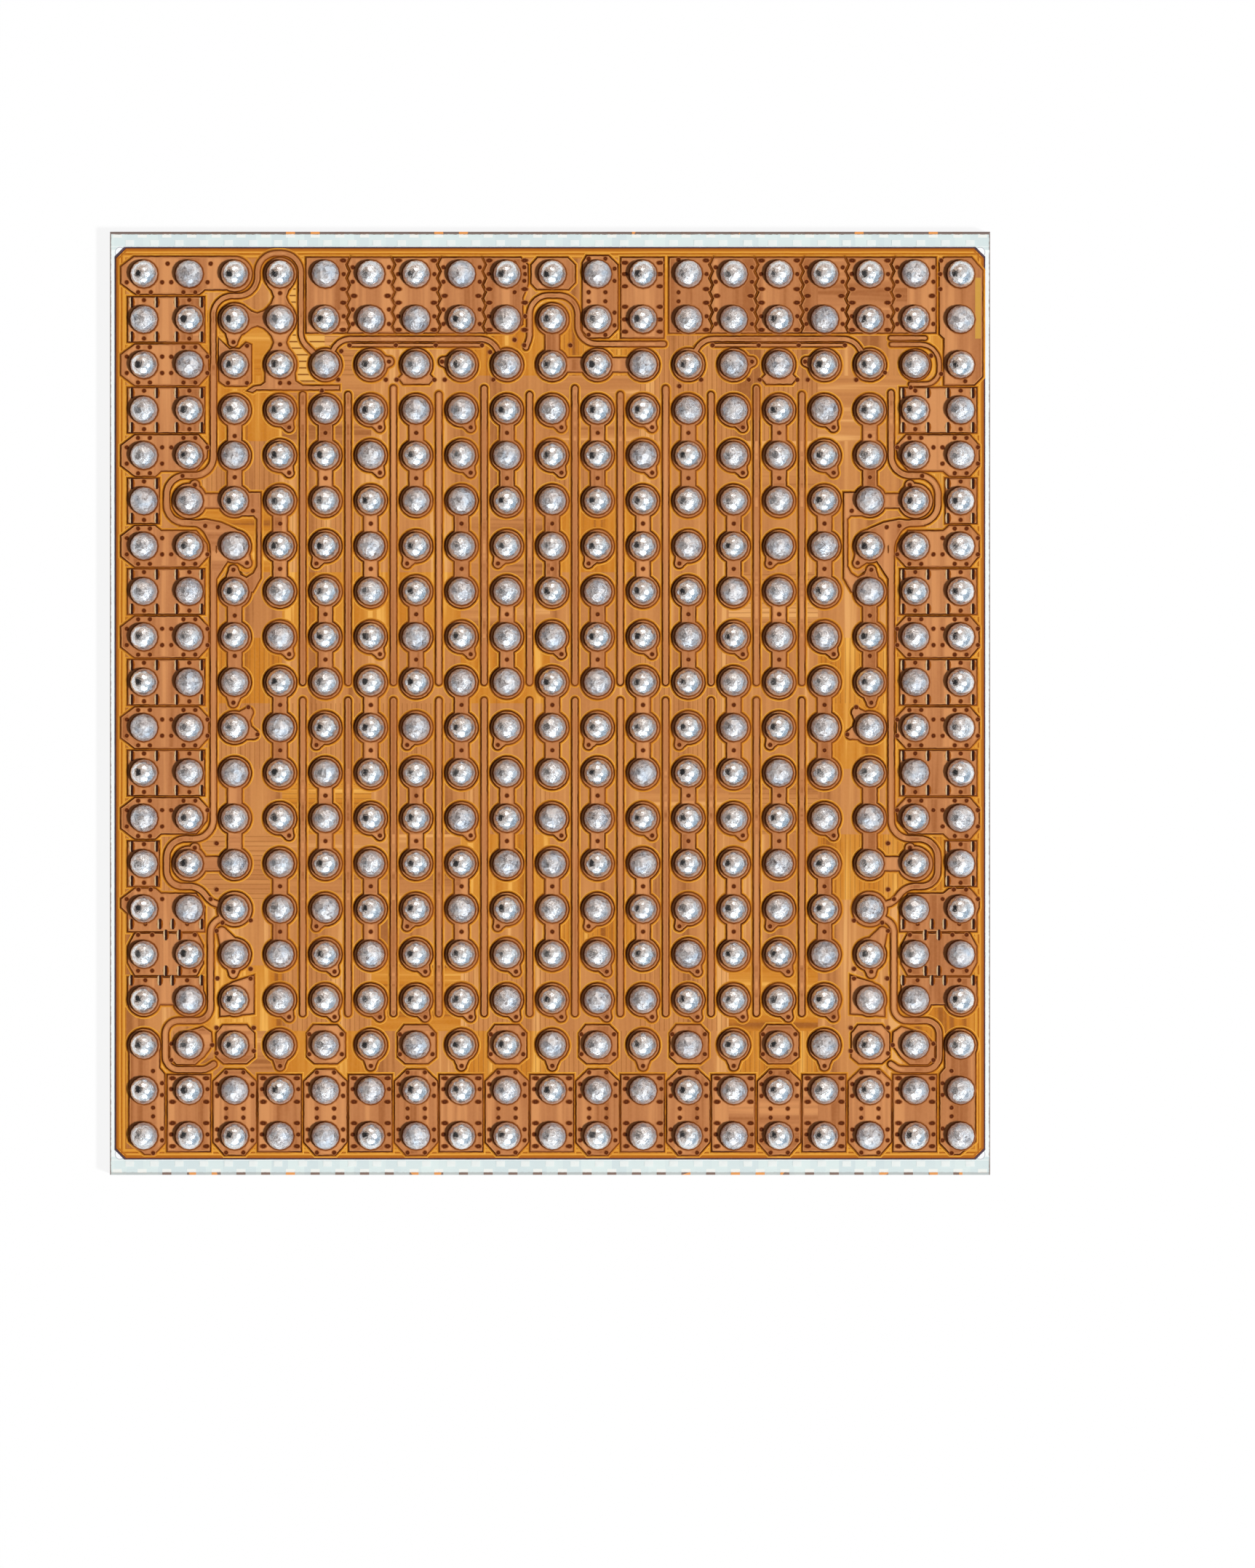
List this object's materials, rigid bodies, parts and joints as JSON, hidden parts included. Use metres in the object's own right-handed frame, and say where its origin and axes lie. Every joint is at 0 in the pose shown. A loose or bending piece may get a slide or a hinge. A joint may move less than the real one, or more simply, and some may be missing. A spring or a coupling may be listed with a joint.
{
  "type": "power management chip",
  "caption": "Wafer-level power management chip: a thin silicon die with amber film and copper tracks on one face, a grid of solder balls over them, and a plain black back.",
  "frame": {"origin": "centre of the flat black marked face, on the plane that the chip rests on", "axes": "+Z out of the ball side, +Y along the long edge and along the ball columns, +X along the ball rows; row A is at +Y and column 1 at -X"},
  "size_m": [0.0078, 0.0084, 0.0006],
  "materials": {
    "coating_black": "smooth black film",
    "silicon": "polished silicon under a clear skin",
    "street_metal": "bright",
    "film_amber": "clear amber film",
    "copper": "plated copper",
    "bump_metal": "plated pad",
    "solder": "silvery reflowed solder"
  },
  "bodies": {
    "root": {"backside_coating": "coating_black", "silicon_die": "silicon", "street_pads": "street_metal", "street_tabs": "street_metal", "first_dielectric": "film_amber", "copper_left": "copper", "copper_top": "copper", "copper_centre": "copper", "copper_bottom": "copper", "copper_right": "copper", "copper_traces": "copper", "cover_dielectric": "film_amber", "bump_pads": "bump_metal", "solder_balls_row_A": "solder", "solder_balls_row_B": "solder", "solder_balls_row_C": "solder", "solder_balls_row_D": "solder", "solder_balls_row_E": "solder", "solder_balls_row_F": "solder", "solder_balls_row_G": "solder", "solder_balls_row_H": "solder", "solder_balls_row_J": "solder", "solder_balls_row_K": "solder", "solder_balls_row_L": "solder", "solder_balls_row_M": "solder", "solder_balls_row_N": "solder", "solder_balls_row_P": "solder", "solder_balls_row_R": "solder", "solder_balls_row_T": "solder", "solder_balls_row_U": "solder", "solder_balls_row_V": "solder", "solder_balls_row_W": "solder", "solder_balls_row_Y": "solder"}
  },
  "joints": []
}
